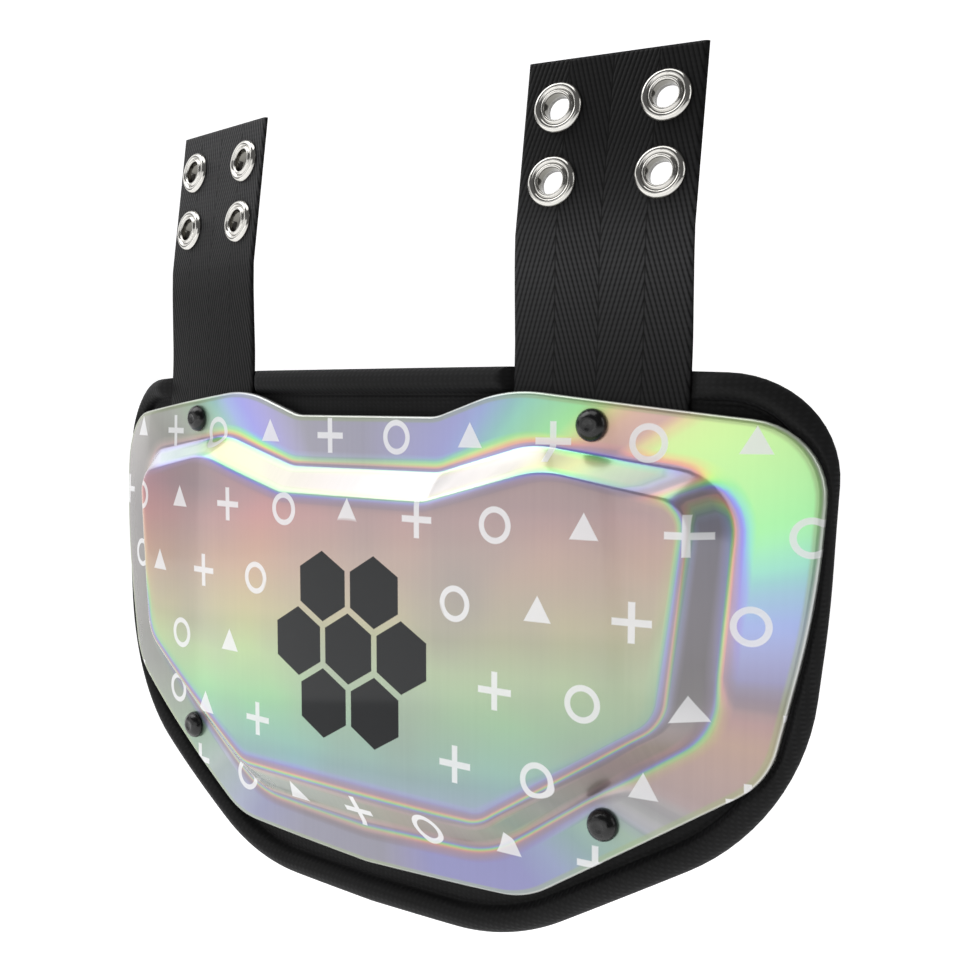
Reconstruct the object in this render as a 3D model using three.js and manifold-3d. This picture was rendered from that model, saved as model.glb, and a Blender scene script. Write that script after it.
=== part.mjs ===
// A football back plate: a hard shell with a raised middle panel, riveted to a moulded foam pad, and two
// webbing straps with metal eyelets by which it hangs from the shoulder pads. Millimetres, +Z up, the shell
// faces -Y, +X is the right-hand side as seen from the front of the shell. The origin is the point that the
// plate hangs from: midway between the two straps, at the middle of their eyelets.

import * as THREE from 'three';
import Module from 'manifold-3d';
import { mergeVertices } from 'three/addons/utils/BufferGeometryUtils.js';

const wasm = await Module();
wasm.setup();

// Driving sizes of the shell
const shellWidth = 275;
const shellHeight = 145.6;
const shellThickness = 2.2;
const shellEdgeRound = 1.3;
const panelRise = 7.2;
const wrapAtTop = 20.5;
const wrapAtBottom = 16;
const wrapPower = 3;
const wrapFall = 4;

// Driving sizes of the pad
const padWidth = 278.6;
const padHeight = 166.4;
const padAboveShell = 7.2;
const foamThickness = 8.4;
const rimWidth = 7.6;
const rimHeight = 4;

// Driving sizes of the straps
const strapWidth = 50.8;
const strapThickness = 1.8;
const strapRise = 99.5;
const strapTail = 14;
const strapLean = 9.7;
const strapTurn = 9.3;
const strapSpread = 0.28364 * shellWidth;

// Driving sizes of the eyelets
const eyeletDiameter = 14.3;
const eyeletBore = 7.3;
const eyeletBarrel = 9.2;
const eyeletRim = 1.7;
const eyeletSpacingX = 30.5;
const eyeletSpacingZ = 20.3;
const eyeletFromTop = 13.3;

// Driving sizes and places of the rivets
const rivetHead = 9;
const rivetDome = 3;
const rivetPost = 4;
const rivetRearHead = 12;
const rivetRearThickness = 1.4;
const topRivetSpread = 0.28691 * shellWidth;
const bottomRivetSpread = 0.30291 * shellWidth;
const rivetBelowEdge = 8.8;
const rivetDrop = 0.7397 * shellHeight;

// Clearance between pieces that touch, and how finely round pieces are divided
const gap = 0.3;
const roundSides = 16;

// Heights are measured from the line through the two top rivets, depths from the shell's front at its middle
const shellTop = rivetBelowEdge;
const padTop = shellTop + padAboveShell;
const floorDepth = shellThickness + gap + strapThickness + gap;
const padBack = floorDepth + foamThickness;

// Corners of the shell's three outlines, from the middle of the top round to the middle of the bottom.
// x is a share of half the shell's width, z of its height below the highest edge, r (the corner's radius) of
// half its width. edge is the shell's outer edge, foot the line where the wall leaves the flange, and top
// the line where it meets the raised panel. arc and run count the steps round a corner and up to it.
const SHELL_CORNERS = [
  { at: 'dip', run: 1, arc: 2, edge: { x: 0.205, z: 0.048, r: 0.11 }, foot: { x: 0.216, z: 0.155, r: 0.11 },
    top: { x: 0.211, z: 0.218, r: 0.11 } },
  { at: 'lobe', run: 1, arc: 3, edge: { x: 0.384, z: -0.008, r: 0.35 }, foot: { x: 0.444, z: 0.094, r: 0.22 },
    top: { x: 0.497, z: 0.144, r: 0.22 } },
  { at: 'shoulder', run: 3, arc: 5, edge: { x: 1.006, z: 0.062, r: 0.145 }, foot: { x: 0.861, z: 0.150, r: 0.12 },
    top: { x: 0.790, z: 0.197, r: 0.06 } },
  { at: 'side', run: 1, arc: 1, edge: { x: 0.991, z: 0.370, r: 1.6 }, foot: { x: 0.843, z: 0.356, r: 1.2 },
    top: { x: 0.771, z: 0.377, r: 1.2 } },
  { at: 'hip', run: 1, arc: 3, edge: { x: 0.918, z: 0.682, r: 0.16 }, foot: { x: 0.819, z: 0.602, r: 0.145 },
    top: { x: 0.748, z: 0.584, r: 0.09 } },
  { at: 'foot', run: 2, arc: 3, edge: { x: 0.429, z: 0.981, r: 0.22 }, foot: { x: 0.349, z: 0.904, r: 0.25 },
    top: { x: 0.351, z: 0.832, r: 0.1 } },
  { at: 'base', run: 1, arc: 0, edge: { x: 0, z: 1, r: 0 }, foot: { x: 0, z: 0.917, r: 0 },
    top: { x: 0, z: 0.834, r: 0 } },
];

// The same for the pad's outline, with shares of half its width and of its height
const PAD_CORNERS = [
  { at: 'crown', run: 1, arc: 1, rim: { x: 0.38, z: 0, r: 2 } },
  { at: 'shoulder', run: 2, arc: 6, rim: { x: 1.006, z: 0.019, r: 0.2 } },
  { at: 'side', run: 1, arc: 2, rim: { x: 0.993, z: 0.377, r: 2.2 } },
  { at: 'hip', run: 1, arc: 6, rim: { x: 0.953, z: 0.706, r: 0.46 } },
  { at: 'foot', run: 2, arc: 4, rim: { x: 0.376, z: 0.992, r: 0.53 } },
  { at: 'base', run: 2, arc: 0, rim: { x: 0, z: 1, r: 0 } },
];

// The section through the shell's wall: along is the way from the foot line to the panel's edge line, and
// rise a share of the panel's rise. The rows outside 0 to 1 round the wall into the flange and the panel.
const WALL_SECTION = [
  { along: 1.22, rise: 1 },
  { along: 0.94, rise: 0.94 },
  { along: 0.76, rise: 0.79 },
  { along: 0.24, rise: 0.21 },
  { along: 0.06, rise: 0.06 },
  { along: -0.22, rise: 0 },
];

// The section through the pad's rim, from the floor outwards and round to the back: inset is a share of the
// rim's width, proud a share of the rim's height above the floor, sunk a share of the foam's thickness
const RIM_SECTION = [
  { inset: 1.16, proud: 0, sunk: 0 },
  { inset: 0.99, proud: -0.04, sunk: 0 },
  { inset: 0.8, proud: 0.7, sunk: 0 },
  { inset: 0.5, proud: 1, sunk: 0 },
  { inset: 0.16, proud: 0.72, sunk: 0 },
  { inset: 0, proud: 0.15, sunk: 0 },
  { inset: 0.15, proud: 0, sunk: 0.25 },
  { inset: 0.55, proud: 0, sunk: 0.48 },
];

// The strap's run, from the shell upwards: rise is a share of the strap's rise above the top rivets, back
// a share of its lean, and flat how far its section has gone from the shell's bow to a flat turned face
const STRAP_RUN = [
  { rise: 0.04, back: 0.01, flat: 0 },
  { rise: 0.12, back: 0.1, flat: 0.18 },
  { rise: 0.22, back: 0.175, flat: 0.42 },
  { rise: 0.34, back: 0.205, flat: 0.74 },
  { rise: 0.44, back: 0.225, flat: 0.92 },
  { rise: 0.52, back: 0.263, flat: 1 },
  { rise: 1, back: 1, flat: 1 },
];

// Where the strap's section has its points, as shares of half its width
const STRAP_ACROSS = [-1, -0.6, 0, 0.6, 1];

// Shares of the outline that the rings inside a panel, a floor or a back shrink to, and how far the pad's
// domed back has come out there, as a share of the foam's thickness
const INNER_RINGS = [0.3, 0.62, 0.86];
const BACK_DOME = [1, 1, 0.9];

const radians = THREE.MathUtils.degToRad;

// How far the shell's front lies behind its middle, at a point of its face
function bow(x, z) {
  const up = THREE.MathUtils.clamp(1 - (shellTop - z) / shellHeight, 0, 1);
  const wrap = THREE.MathUtils.lerp(wrapAtBottom, wrapAtTop, up ** wrapFall);
  return wrap * (Math.abs(x) / (shellWidth / 2)) ** wrapPower;
}

// A half outline with rounded corners, mirrored to a whole loop of points
function outline(corners, line, width, height, top) {
  const place = (row) => new THREE.Vector2(row[line].x * width / 2, top - row[line].z * height);
  const first = place(corners[0]);
  const half = [new THREE.Vector2(0, first.y)];
  for (let i = 0; i < corners.length; i += 1) {
    const corner = place(corners[i]);
    const start = half[half.length - 1];
    const before = corner.clone().sub(i > 0 ? place(corners[i - 1]) : start).normalize();
    const last = i === corners.length - 1;
    const after = last ? before : place(corners[i + 1]).sub(corner).normalize();
    const turn = Math.atan2(before.cross(after), before.dot(after));
    const reach = corners[i][line].r * width / 2 * Math.tan(Math.abs(turn) / 2);
    const inward = new THREE.Vector2(-before.y, before.x).multiplyScalar(Math.sign(turn));
    const enter = corner.clone().addScaledVector(before, -reach);
    const radius = corners[i][line].r * width / 2;
    for (let k = 1; k < corners[i].run; k += 1) {
      half.push(start.clone().lerp(enter, k / corners[i].run));
    }
    for (let k = 0; k <= corners[i].arc; k += 1) {
      const angle = corners[i].arc > 0 ? Math.abs(turn) * k / corners[i].arc : 0;
      const point = enter.clone().addScaledVector(before, radius * Math.sin(angle));
      half.push(point.addScaledVector(inward, radius * (1 - Math.cos(angle))));
    }
  }
  const mirror = half.slice(1, -1).reverse();
  return half.concat(mirror.map((point) => new THREE.Vector2(-point.x, point.y)));
}

// Moves a loop's points inwards, square to the loop
function inset(loop, distance) {
  return loop.map((point, i) => {
    const before = loop[(i + loop.length - 1) % loop.length];
    const after = loop[(i + 1) % loop.length];
    const along = after.clone().sub(before).normalize();
    return new THREE.Vector2(point.x + along.y * distance, point.y - along.x * distance);
  });
}

// Shrinks a loop about its middle height
function shrink(loop, share) {
  const heights = loop.map((point) => point.y);
  const middle = (Math.max(...heights) + Math.min(...heights)) / 2;
  return loop.map((point) => new THREE.Vector2(point.x * share, middle + (point.y - middle) * share));
}

// Points part of the way from one loop to another
function between(outer, inner, share) {
  return outer.map((point, i) => point.clone().lerp(inner[i], share));
}

// Lays a loop on the bowed face, a given depth behind it
function lay(loop, depth) {
  return loop.map((point) => new THREE.Vector3(point.x, bow(point.x, point.y) + depth, point.y));
}

// The triangles between rings of equal count, one ring after another
function bands(rings) {
  const count = rings[0].length;
  const index = [];
  for (let r = 0; r + 1 < rings.length; r += 1) {
    for (let i = 0; i < count; i += 1) {
      const a = r * count + i;
      const b = r * count + (i + 1) % count;
      index.push(a, b, a + count);
      index.push(b, b + count, a + count);
    }
  }
  return index;
}

// A closed skin over rings of equal count, with a middle point closing the first and the last ring
function skin(rings) {
  const count = rings[0].length;
  const points = rings.flat();
  const index = bands(rings);
  const caps = [{ ring: 0, flip: true }, { ring: rings.length - 1, flip: false }];
  for (const cap of caps) {
    const middle = new THREE.Vector3();
    for (const point of rings[cap.ring]) {
      middle.addScaledVector(point, 1 / count);
    }
    const heights = rings[cap.ring].map((point) => point.z);
    middle.x = 0;
    middle.z = (Math.max(...heights) + Math.min(...heights)) / 2;
    const depths = rings[cap.ring].map((point) => point.y - bow(point.x, point.z));
    middle.y = depths.reduce((sum, depth) => sum + depth, 0) / count + bow(0, middle.z);
    points.push(middle);
    for (let i = 0; i < count; i += 1) {
      const a = cap.ring * count + i;
      const b = cap.ring * count + (i + 1) % count;
      index.push(points.length - 1, cap.flip ? b : a, cap.flip ? a : b);
    }
  }
  return closed(points, index);
}

// A geometry from points and triangles
function closed(points, index) {
  const geometry = new THREE.BufferGeometry();
  geometry.setAttribute('position', new THREE.Float32BufferAttribute(points.flatMap((p) => [p.x, p.y, p.z]), 3));
  geometry.setIndex(index);
  return geometry;
}

// A closed geometry as a solid that can be cut, with its faces turned outwards
function solid(geometry) {
  const bare = geometry.clone();
  bare.deleteAttribute('normal');
  bare.deleteAttribute('uv');
  const merged = mergeVertices(bare, 1e-4);
  const index = Array.from(merged.index.array);
  const place = merged.attributes.position;
  const corner = new THREE.Vector3();
  const corners = (i) => [0, 1, 2].map((k) => corner.fromBufferAttribute(place, index[i + k]).clone());
  let volume = 0;
  for (let i = 0; i < index.length; i += 3) {
    const [a, b, c] = corners(i);
    volume += a.dot(b.cross(c)) / 6;
  }
  const turned = volume < 0 ? index.reverse() : index;
  return new wasm.Manifold(new wasm.Mesh({
    numProp: 3,
    vertProperties: new Float32Array(place.array),
    triVerts: new Uint32Array(turned),
  }));
}

// A solid as a geometry
function geometryOf(body) {
  const mesh = body.getMesh();
  const geometry = new THREE.BufferGeometry();
  geometry.setAttribute('position', new THREE.BufferAttribute(new Float32Array(mesh.vertProperties), 3));
  geometry.setIndex(Array.from(mesh.triVerts));
  return geometry;
}

// The same geometry on the other side of the plate's middle
function mirrored(geometry) {
  const copy = geometry.clone();
  copy.scale(-1, 1, 1);
  if (!copy.index) {
    copy.setIndex(Array.from({ length: copy.attributes.position.count }, (unused, i) => i));
  }
  copy.setIndex(Array.from(copy.index.array).reverse());
  return copy;
}

// The shell's outlines
const edgeLine = outline(SHELL_CORNERS, 'edge', shellWidth, shellHeight, shellTop);
const footLine = outline(SHELL_CORNERS, 'foot', shellWidth, shellHeight, shellTop);
const topLine = outline(SHELL_CORNERS, 'top', shellWidth, shellHeight, shellTop);

// Where a rivet or an eyelet stands, and which way it faces
function seat(x, y, z, turn, lean) {
  const frame = new THREE.Object3D();
  frame.position.set(x, y, z);
  frame.rotation.set(-lean, 0, turn, 'ZYX');
  frame.updateMatrix();
  return frame;
}

// A rivet's seat on the flange's front, square to the bowed face
function rivetSeat(spread, height) {
  const step = 1;
  const slope = (bow(spread + step, height) - bow(spread - step, height)) / (2 * step);
  return seat(spread, bow(spread, height), height, Math.atan(slope), 0);
}

const rivetSeats = [
  { name: 'top', place: rivetSeat(topRivetSpread, 0) },
  { name: 'bottom', place: rivetSeat(bottomRivetSpread, -rivetDrop) },
];

// A round bar along a seat's depth, from one depth to another
function bar(place, diameter, from, to) {
  const geometry = new THREE.CylinderGeometry(diameter / 2, diameter / 2, to - from, roundSides);
  geometry.translate(0, (from + to) / 2, 0);
  return solid(geometry.applyMatrix4(place.matrix));
}

// The hole that a rivet's post passes through, in everything that it joins
function postHole(place) {
  return bar(place, rivetPost + 2 * gap, -panelRise, padBack + rivetHead);
}

// A shape turned about a seat's depth, from its profile of radius and depth
function turnedShape(place, profile) {
  const points = profile.map((row) => new THREE.Vector2(row.r, row.y));
  const geometry = new THREE.LatheGeometry(points, roundSides);
  return geometryOf(solid(geometry.applyMatrix4(place.matrix)));
}

function shellGeometry() {
  const middle = { front: -panelRise, back: shellThickness - panelRise };
  const panel = between(footLine, topLine, WALL_SECTION[0].along);
  const flange = between(edgeLine, footLine, 0.5);
  const wall = (depth) => WALL_SECTION.map((row) => {
    return lay(between(footLine, topLine, row.along), depth - row.rise * panelRise);
  });
  const front = INNER_RINGS.map((share) => lay(shrink(panel, share), middle.front));
  front.push(...wall(0));
  front.push(lay(flange, 0));
  front.push(lay(inset(edgeLine, shellEdgeRound), 0));
  front.push(lay(edgeLine, shellEdgeRound / 2));
  const back = [lay(edgeLine, shellThickness), lay(flange, shellThickness)];
  back.push(...wall(shellThickness).reverse());
  back.push(...INNER_RINGS.map((share) => lay(shrink(panel, share), middle.back)).reverse());
  let body = solid(skin(front.concat(back)));
  for (const rivet of rivetSeats) {
    const hole = postHole(rivet.place);
    const other = solid(mirrored(geometryOf(hole)));
    body = body.subtract(hole).subtract(other);
  }
  return geometryOf(body);
}

// The room that the shell takes up, with its clearance, from well in front of the pad back to the flange
function shellRoom() {
  const loop = inset(edgeLine, -2 * gap);
  const back = shellThickness + gap;
  const rings = [loop.map((point) => new THREE.Vector3(point.x, -panelRise, point.y))];
  rings.push(lay(loop, back));
  rings.push(...INNER_RINGS.slice().reverse().map((share) => lay(shrink(loop, share), back)));
  return solid(skin(rings));
}

function padGeometry(strapRoom) {
  const rim = outline(PAD_CORNERS, 'rim', padWidth, padHeight, padTop);
  const section = RIM_SECTION.map((row) => {
    const depth = floorDepth - row.proud * rimHeight + row.sunk * foamThickness;
    return lay(inset(rim, row.inset * rimWidth), depth);
  });
  const floor = inset(rim, RIM_SECTION[0].inset * rimWidth);
  const back = inset(rim, RIM_SECTION[RIM_SECTION.length - 1].inset * rimWidth);
  const rings = INNER_RINGS.map((share) => lay(shrink(floor, share), floorDepth));
  rings.push(...section);
  const dome = INNER_RINGS.map((share, i) => {
    return lay(shrink(back, share), floorDepth + BACK_DOME[i] * foamThickness);
  });
  rings.push(...dome.reverse());
  let body = solid(skin(rings)).subtract(shellRoom());
  const cuts = [solid(strapRoom)];
  for (const rivet of rivetSeats) {
    cuts.push(postHole(rivet.place));
    const sunk = padBack - rivetRearThickness - gap;
    cuts.push(bar(rivet.place, rivetRearHead + 2 * gap, sunk, padBack + rivetHead));
  }
  for (const cut of cuts) {
    body = body.subtract(cut).subtract(solid(mirrored(geometryOf(cut))));
  }
  return geometryOf(body);
}

// The strap's front face: its depth at a point, for a row of its run
function strapDepth(row, x, z) {
  const bowed = bow(x, z) - bow(strapSpread, z);
  const turned = (x - strapSpread) * Math.tan(radians(strapTurn));
  const foot = bow(strapSpread, 0) + shellThickness + gap;
  return foot + row.back * strapLean + THREE.MathUtils.lerp(bowed, turned, row.flat);
}

// The strap without its holes, made larger all round by some room
function strapShape(room) {
  const tail = { rise: -(strapTail + room) / strapRise, back: 0, flat: 0 };
    const rows = [tail].concat(STRAP_RUN);
  const rings = rows.map((row) => {
    const z = row.rise * strapRise;
    const half = strapWidth / 2 + room;
    const ring = STRAP_ACROSS.map((share) => {
      const x = strapSpread + share * half;
      return new THREE.Vector3(x, strapDepth(row, x, z) - room, z);
    });
    const rear = ring.slice().reverse().map((point) => {
      return new THREE.Vector3(point.x, point.y + strapThickness + 2 * room, point.z);
    });
    return ring.concat(rear);
  });
  const count = rings[0].length;
  const index = bands(rings);
  for (const end of [{ ring: 0, flip: true }, { ring: rings.length - 1, flip: false }]) {
    for (let i = 0; i + 1 < STRAP_ACROSS.length; i += 1) {
      const a = end.ring * count + i;
      const c = end.ring * count + count - 1 - i;
      const faces = [[a, a + 1, c], [a + 1, c - 1, c]];
      for (const face of faces) {
        index.push(...(end.flip ? face.reverse() : face));
      }
    }
  }
  return closed(rings.flat(), index);
}

// The four eyelets' seats on a strap's front face: the rows are level, and the columns follow the lean
function eyeletSeats() {
  const last = STRAP_RUN[STRAP_RUN.length - 1];
  const bend = STRAP_RUN[STRAP_RUN.length - 2];
  const slope = (last.back - bend.back) * strapLean / ((last.rise - bend.rise) * strapRise);
  const seats = [];
  for (const [rowName, down] of [['upper', 0], ['lower', 1]]) {
    for (const [sideName, out] of [['inner', -0.5], ['outer', 0.5]]) {
      const z = strapRise - eyeletFromTop - down * eyeletSpacingZ;
      const x = strapSpread + out * eyeletSpacingX;
      const back = 1 - (last.rise - z / strapRise) * (last.back - bend.back) / (last.rise - bend.rise);
      const y = strapDepth({ back, flat: 1 }, x, z);
      const lean = Math.atan(slope * Math.cos(radians(strapTurn)));
      seats.push({ name: `${rowName}_${sideName}`, place: seat(x, y, z, radians(strapTurn), lean) });
    }
  }
  return seats;
}

// Half the clearance, left between an eyelet's flanges and the strap that they grip
const grip = gap / 2;

function eyeletGeometry(place) {
  const outer = eyeletDiameter / 2;
  const bore = eyeletBore / 2;
  const barrel = eyeletBarrel / 2;
  const rear = strapThickness + grip;
  const profile = [
    { r: bore, y: rear + 0.6 * eyeletRim },
    { r: bore, y: -0.85 * eyeletRim },
    { r: barrel, y: -eyeletRim },
    { r: 1.09 * barrel, y: -0.6 * eyeletRim },
    { r: 0.84 * outer, y: -0.85 * eyeletRim },
    { r: outer, y: -0.3 * eyeletRim },
    { r: outer, y: -grip },
    { r: barrel, y: -grip },
    { r: barrel, y: rear },
    { r: 0.92 * outer, y: rear },
    { r: 0.88 * outer, y: rear + 0.6 * eyeletRim },
    { r: bore, y: rear + 0.6 * eyeletRim },
  ];
  return turnedShape(place, profile);
}

function rivetGeometry(place) {
  const head = rivetHead / 2;
  const post = rivetPost / 2;
  const rear = rivetRearHead / 2;
  const under = padBack - rivetRearThickness;
  const profile = [
    { r: 0, y: -gap - rivetDome },
    { r: 0.42 * head, y: -gap - 0.93 * rivetDome },
    { r: 0.8 * head, y: -gap - 0.62 * rivetDome },
    { r: head, y: -gap - 0.16 * rivetDome },
    { r: 0.97 * head, y: -gap },
    { r: post, y: -gap },
    { r: post, y: under },
    { r: rear, y: under },
    { r: rear, y: padBack - 0.3 * rivetRearThickness },
    { r: 0.9 * rear, y: padBack },
    { r: 0, y: padBack },
  ];
  return turnedShape(place, profile);
}

function strapGeometry(seats) {
  let body = solid(strapShape(0));
  for (const eyelet of seats) {
    body = body.subtract(bar(eyelet.place, eyeletBarrel + 2 * gap, -panelRise, strapThickness + panelRise));
  }
  return geometryOf(body.subtract(postHole(rivetSeats[0].place)));
}

// Finishes
const foamFinish = { color: 0x1c1c1d, roughness: 0.9, metalness: 0 };
const shellFinish = { color: 0xc4bccb, roughness: 0.25, metalness: 0.4 };
const webbingFinish = { color: 0x151516, roughness: 0.7, metalness: 0 };
const nickelFinish = { color: 0xd9d9d6, roughness: 0.2, metalness: 1 };
const rivetFinish = { color: 0x0b0b0c, roughness: 0.25, metalness: 0 };

// The plate, hung with the middle of its eyelets at the origin
const plate = new THREE.Group();

function add(name, geometry, finish) {
  const mesh = new THREE.Mesh(geometry, new THREE.MeshStandardMaterial(finish));
  mesh.name = name;
  plate.add(mesh);
}

const eyelets = eyeletSeats();
const strap = strapGeometry(eyelets);

add('pad', padGeometry(strapShape(gap)), foamFinish);
add('shell', shellGeometry(), shellFinish);
add('strap_right', strap, webbingFinish);
add('strap_left', mirrored(strap), webbingFinish);
for (const eyelet of eyelets) {
  const geometry = eyeletGeometry(eyelet.place);
  add(`eyelet_right_${eyelet.name}`, geometry, nickelFinish);
  add(`eyelet_left_${eyelet.name}`, mirrored(geometry), nickelFinish);
}
for (const rivet of rivetSeats) {
  const geometry = rivetGeometry(rivet.place);
  add(`rivet_right_${rivet.name}`, geometry, rivetFinish);
  add(`rivet_left_${rivet.name}`, mirrored(geometry), rivetFinish);
}

const hangHeight = strapRise - eyeletFromTop - eyeletSpacingZ / 2;
const hangDepth = (eyelets[0].place.position.y + eyelets[3].place.position.y) / 2;
plate.position.set(0, -hangDepth, -hangHeight);

export default plate;
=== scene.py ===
import math

import bpy
import numpy as np
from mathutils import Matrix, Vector


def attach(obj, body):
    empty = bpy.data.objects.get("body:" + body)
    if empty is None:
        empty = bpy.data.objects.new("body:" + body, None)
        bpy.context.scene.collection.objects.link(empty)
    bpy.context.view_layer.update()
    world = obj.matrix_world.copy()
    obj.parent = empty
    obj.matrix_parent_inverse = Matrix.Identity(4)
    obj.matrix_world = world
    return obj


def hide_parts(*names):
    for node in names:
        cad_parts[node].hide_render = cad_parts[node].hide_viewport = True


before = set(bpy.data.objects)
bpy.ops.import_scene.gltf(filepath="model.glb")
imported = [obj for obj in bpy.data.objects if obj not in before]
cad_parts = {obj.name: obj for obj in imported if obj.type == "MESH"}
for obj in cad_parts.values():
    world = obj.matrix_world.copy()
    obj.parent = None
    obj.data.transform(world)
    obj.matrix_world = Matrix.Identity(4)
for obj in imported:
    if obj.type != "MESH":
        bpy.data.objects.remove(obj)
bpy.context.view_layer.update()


# The pad: closed-cell foam with a knit face, pressed hot in a mould that raises a round rim about a flat
# floor and domes the back. The shell and the straps bear on its front, where the foam gives way.

SHELL_WIDTH = 275.0  # sizes are in mm, measured from the top rivets' line and the shell's front at its middle
SHELL_HEIGHT = 145.6
SHELL_TOP = 8.8
SHELL_THICKNESS = 2.2
PAD_WIDTH = 278.6
PAD_HEIGHT = 166.4
PAD_TOP = 16.0
PAD_FLOOR = 4.6
PAD_BACK = 13.0
CLEARANCE = 0.3
BOW, MORE_BOW = 16.0, 4.5  # how far the shell's sides lie behind its middle, and how much more at the top
SHELL_GIVE = 1.2  # how steeply the foam rises again beside the shell's edge and beside a strap
STRAP_GIVE = 1.3
SHELL_MARGIN = 0.6  # how far past the shell's edge the foam stays pressed
STRAP_WIDTH = 50.8
STRAP_THICKNESS = 1.8
STRAP_TOP = 99.5
STRAP_FOOT = -14.0
STRAP_SPREAD = 78.0  # from the plate's middle to the middle of a strap
STRAP_SET_BACK = 9.7  # how far a strap leans back over its height
STRAP_TURN = math.radians(9.3)
HANG = np.array([0.0, -12.2508, -76.05])  # from the shell's front at its middle to the hanging point
PAD_CORNERS = [  # x as a share of half the width, z of the height, radius of half the width
    (0.38, 0.0, 2.0),
    (1.006, 0.019, 0.2),
    (0.993, 0.377, 2.2),
    (0.953, 0.706, 0.46),
    (0.376, 0.992, 0.53),
    (0.0, 1.0, 0.0),
]
RIM_SECTION = [  # mm inwards from the outline, and mm behind the shell's front
    (8.9, 4.6),
    (7.5, 4.76),
    (6.1, 1.9),
    (3.8, 0.6),
    (1.25, 1.6),
    (0.0, 4.0),
    (1.1, 6.7),
    (4.2, 8.63),
]


def bowed(x, z):
    """How far the shell's front lies behind its middle, in mm."""
    up = np.clip(1 - (SHELL_TOP - z) / SHELL_HEIGHT, 0, 1)
    return (BOW + MORE_BOW * up**4) * (np.abs(x) / (SHELL_WIDTH / 2)) ** 3


def outline(corners, width, height, top, steps):
    """A loop of points, clockwise from the top middle, from the rounded corners of its right half."""
    spots = [np.array([x * width / 2, top - z * height]) for x, z, _ in corners]
    half = [np.array([0.0, spots[0][1]])]
    for i, corner in enumerate(spots):
        start = half[-1]
        before = corner - (spots[i - 1] if i else start)
        before = before / np.linalg.norm(before)
        if i + 1 == len(spots):
            half += [start + (corner - start) * k / steps for k in range(1, steps + 1)]
            break
        after = (spots[i + 1] - corner) / np.linalg.norm(spots[i + 1] - corner)
        turn = math.atan2(before[0] * after[1] - before[1] * after[0], before @ after)
        radius = corners[i][2] * width / 2
        enter = corner - before * radius * math.tan(abs(turn) / 2)
        inward = np.array([-before[1], before[0]]) * np.sign(turn)
        half += [start + (enter - start) * k / steps for k in range(1, steps)]
        for angle in np.linspace(0, abs(turn), steps + 1):
            half.append(enter + radius * (before * math.sin(angle) + inward * (1 - math.cos(angle))))
    half = np.array(half)
    return np.vstack([half, half[-2:0:-1] * [-1, 1]])


def inset(loop, distance):
    """The loop's points moved inwards, square to the loop."""
    along = np.roll(loop, -1, 0) - np.roll(loop, 1, 0)
    along /= np.linalg.norm(along, axis=1)[:, None]
    return loop + distance * np.column_stack([along[:, 1], -along[:, 0]])


def shrunk(loop, share):
    """The loop drawn in towards its middle."""
    middle = np.array([0.0, (loop[:, 1].max() + loop[:, 1].min()) / 2])
    return middle + (loop - middle) * share


def through(knots, steps):
    """A smooth curve through the knots, with some steps in each stretch."""
    p = np.array(knots, float)
    p = np.vstack([2 * p[0] - p[1], p, 2 * p[-1] - p[-2]])
    out = []
    for a, b, c, d in zip(p, p[1:], p[2:], p[3:]):
        for t in np.arange(steps) / steps:
            out.append(b + t / 2 * (c - a + t * (2 * a - 5 * b + 4 * c - d + t * (3 * (b - c) + d - a))))
    return np.array(out + [p[-2]])


def outside(points, loop):
    """Signed distance in mm from a loop, negative inside it."""
    a, b = loop, np.roll(loop, -1, 0)
    edge = b - a
    near = np.full(len(points), 1e9)
    inside = np.zeros(len(points), bool)
    for start, way, end in zip(a, edge, b):
        away = points - start
        share = np.clip(away @ way / (way @ way), 0, 1)
        near = np.minimum(near, np.linalg.norm(away - share[:, None] * way, axis=1))
        crosses = (start[1] > points[:, 1]) != (end[1] > points[:, 1])
        if way[1]:
            inside ^= crosses & (points[:, 0] < start[0] + (points[:, 1] - start[1]) / way[1] * way[0])
    return np.where(inside, -near, near)


def skin(name, rings, around, along, material, at=HANG, hollow=False):
    """A closed piece over rings of points in mm, with a UV map that holds around and along. Its ends are
    closed by a middle point, or join each other if it is hollow like a ring."""
    count = len(rings[0])
    ends = [] if hollow else [rings[0].mean(0), rings[-1].mean(0)]
    points = (np.vstack([*rings, *ends]) + at) / 1000
    faces, uvs = [], []
    for r in range(len(rings) - (0 if hollow else 1)):
        for i in range(count):
            j = (i + 1) % count
            on = (r + 1) % len(rings) * count
            faces.append((r * count + i, r * count + j, on + j, on + i))
            uvs += [(around[i], along[r]), (around[i + 1], along[r])]
            uvs += [(around[i + 1], along[r + 1]), (around[i], along[r + 1])]
    caps = () if hollow else ((0, len(points) - 2), (len(rings) - 1, len(points) - 1))
    for ring, pole in caps:
        for i in range(count):
            a, b = ring * count + i, ring * count + (i + 1) % count
            faces.append((pole, b, a) if ring == 0 else (pole, a, b))
            middle = ((around[i] + around[i + 1]) / 2, along[ring])
            side = [(around[i + 1], along[ring]), (around[i], along[ring])]
            uvs += [middle, *(side if ring == 0 else side[::-1])]
    mesh = bpy.data.meshes.new(name)
    mesh.from_pydata(points.tolist(), [], faces)
    layer = mesh.uv_layers.new(name="surface")
    layer.data.foreach_set("uv", np.array(uvs, np.float32).ravel())
    volume = 0.0
    for face in mesh.polygons:
        a, b, c = (points[v] for v in face.vertices[:3])
        volume += a @ np.cross(b, c)
        if len(face.vertices) == 4:
            d = points[face.vertices[3]]
            volume += a @ np.cross(c, d)
    if volume < 0:
        mesh.flip_normals()
    mesh.shade_smooth()
    mesh.materials.append(material)
    piece = bpy.data.objects.new(name, mesh)
    bpy.context.scene.collection.objects.link(piece)
    return piece


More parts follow.
